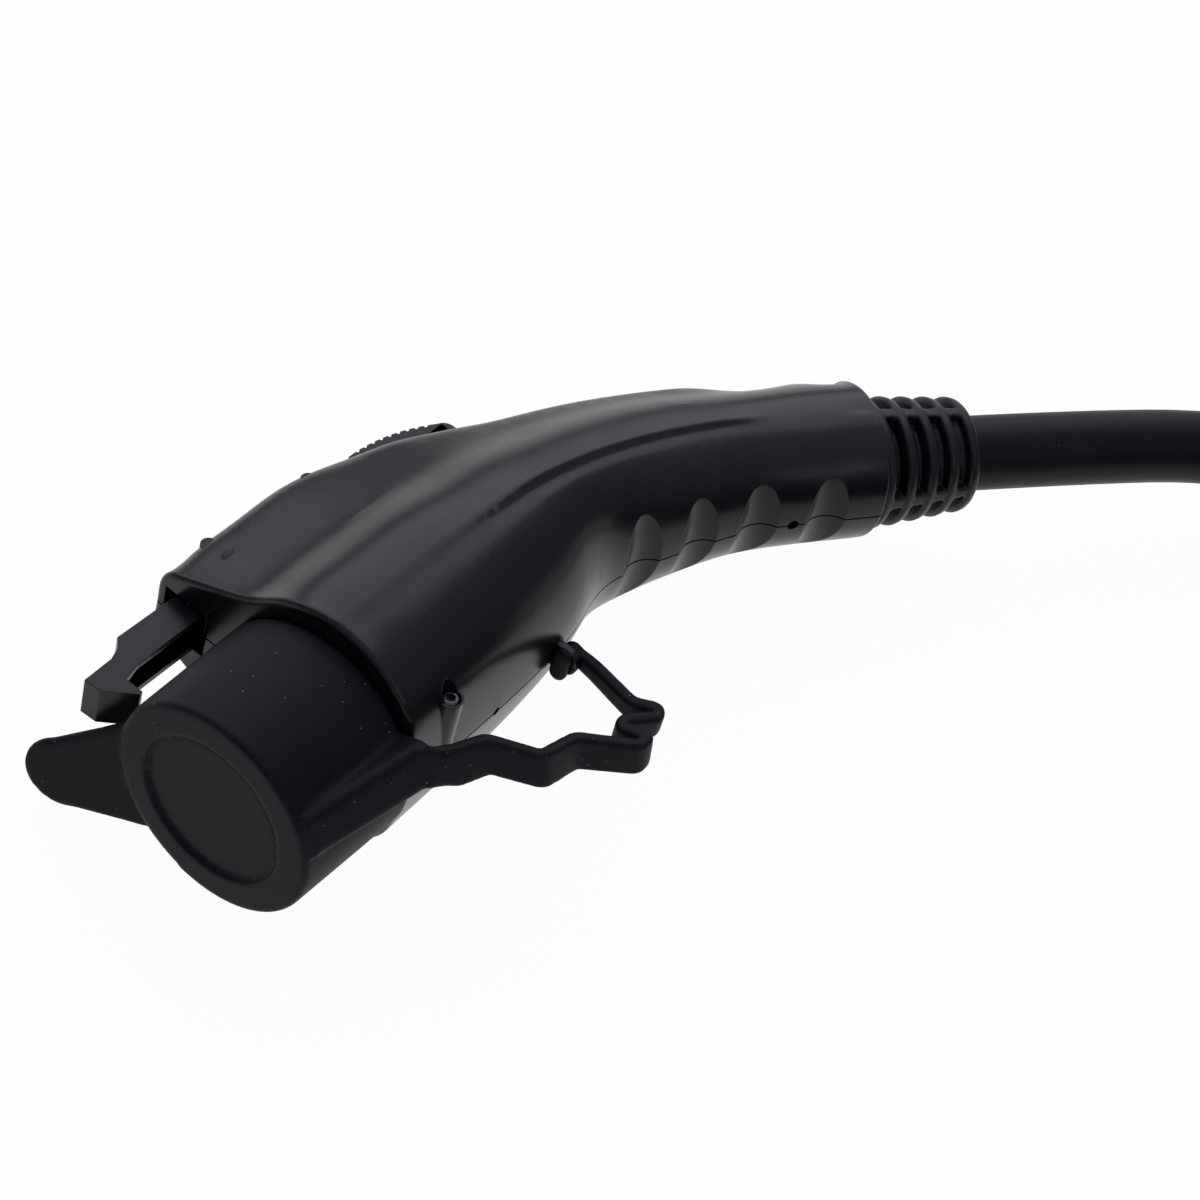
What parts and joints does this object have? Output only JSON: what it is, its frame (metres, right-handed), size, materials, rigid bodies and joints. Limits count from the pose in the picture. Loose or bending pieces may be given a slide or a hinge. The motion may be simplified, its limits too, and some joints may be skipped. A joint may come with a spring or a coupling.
{
  "type": "electric vehicle charging adapter",
  "caption": "Handheld charging connector with a round nose under a tethered rubber cap, a sprung latch worked by a thumb button, a bent ribbed grip and a coiled power cable",
  "frame": {"origin": "on the nose barrel's axis, in the plane of the housing's front rim", "axes": "+X runs out of the nose along the barrel's axis, -Y is the latch side and +Y the finger side, +Z is the connector's left side, which faces up as it lies on its right side"},
  "size_m": [0.319, 0.4576, 0.0613],
  "materials": {
    "shell_plastic": "black moulded plastic, satin gloss",
    "barrel_plastic": "black moulded plastic, fine matte",
    "soft_rubber": "black rubber, dull, with fine specks of dust",
    "cable_jacket": "black rubber jacket, dull",
    "steel": "bright zinc-plated steel",
    "contact_metal": "silver-plated copper alloy",
    "board": "green circuit board, satin lacquer"
  },
  "bodies": {
    "connector": {"left_shell": "shell_plastic", "right_shell": "shell_plastic", "shell_screws": "steel", "nose_barrel": "barrel_plastic", "contact_line": "contact_metal", "contact_neutral": "contact_metal", "contact_earth": "contact_metal", "contact_pilot": "contact_metal", "contact_proximity": "contact_metal", "contact_retainer": "barrel_plastic", "retainer_screws": "steel", "barrel_seal": "soft_rubber", "cap_strap": "soft_rubber", "latch_pivot_pin": "steel", "latch_spring": "steel", "switch_case": "barrel_plastic", "resistor_board": "board", "strain_relief": "soft_rubber", "cord_clamp_top": "barrel_plastic", "cord_clamp_base": "barrel_plastic", "clamp_screws": "steel", "wire_line": "cable_jacket", "wire_neutral": "cable_jacket", "wire_earth": "cable_jacket", "wire_pilot": "cable_jacket", "wire_proximity": "cable_jacket", "cable_end": "cable_jacket", "cable_run": "cable_jacket", "cable_coil": "cable_jacket", "bare_cores": "cable_jacket"},
    "latch": {"latch_lever": "shell_plastic", "release_button": "shell_plastic"},
    "plunger": {"switch_plunger": "barrel_plastic"},
    "cap": {"dust_cap": "soft_rubber"}
  },
  "joints": [
    {"name": "latch_press", "type": "hinge", "parent": "connector", "child": "latch", "pos_m": [-0.012, -0.0355, 0], "axis": [0, 0, -1], "range_deg": [0, 5], "stiffness_Nm_per_rad": 2.5, "springref_deg": -5.73, "deforming": ["latch_spring"]},
    {"name": "switch_press", "type": "slide", "parent": "connector", "child": "plunger", "axis": [0, 1, 0], "range_m": [0, 0.0011]},
    {"name": "cap_pull", "type": "slide", "parent": "connector", "child": "cap", "axis": [1, 0, 0], "range_m": [0, 0.055], "deforming": ["cap_strap"]}
  ],
  "couplings": [
    {"joint": "switch_press", "follows": "latch_press", "m_per_rad": 0.012}
  ]
}
